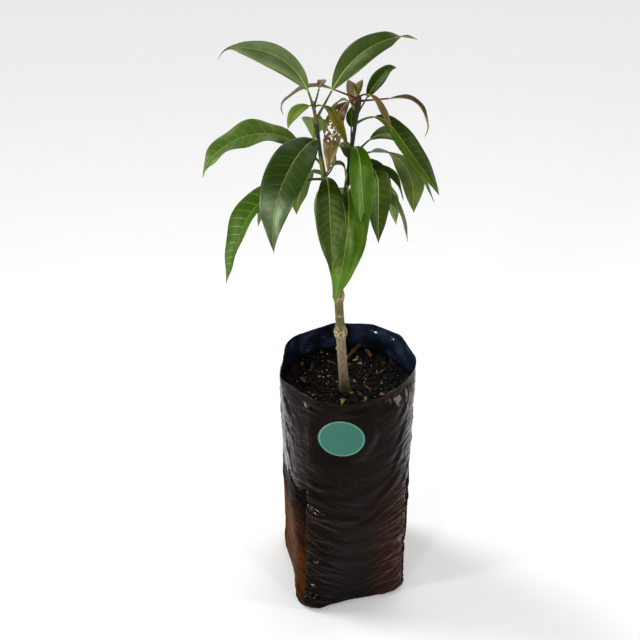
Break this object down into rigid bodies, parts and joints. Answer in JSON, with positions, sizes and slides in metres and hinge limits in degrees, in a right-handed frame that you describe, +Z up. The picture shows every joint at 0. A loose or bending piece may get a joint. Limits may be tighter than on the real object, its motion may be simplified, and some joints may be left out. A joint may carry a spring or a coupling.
{
  "type": "potted mango tree sapling",
  "caption": "Young mango tree with long drooping leaves and bronze new growth on a forked stem, in a tall soft black nursery bag of potting mix",
  "frame": {"origin": "middle of the bag's flat underside", "axes": "+Z up; -Y is the bag's face with the round sticker; the square foot's sides run along X and Y, and the tree stands turned by 13 degrees in its bag"},
  "size_m": [0.2472, 0.1596, 0.7264],
  "materials": {
    "bag_film": "glossy near-black polythene film with a brown cast, lightly creased",
    "mix": "dark moist bark and peat mix with white perlite grains",
    "sticker_film": "plain teal green sticker",
    "old_bark": "matt grey-brown bark turning olive upwards",
    "green_bark": "smooth green shoot bark",
    "deep_green_leaf": "leathery deep green leaves with yellow-green midribs",
    "young_green_leaf": "leathery mid green leaves with paler young ones",
    "mid_green_leaf": "leathery green leaves",
    "bronze_leaf": "soft bronze to purple-brown new leaves"
  },
  "bodies": {
    "root": {"grow_bag": "bag_film", "potting_mix": "mix", "round_sticker": "sticker_film", "trunk": "old_bark", "left_bough": "green_bark", "right_bough": "green_bark", "left_lower_leaves": "deep_green_leaf", "left_upper_leaves": "young_green_leaf", "right_lower_leaves": "deep_green_leaf", "right_upper_leaves": "mid_green_leaf", "right_bronze_leaves": "bronze_leaf"}
  },
  "joints": []
}
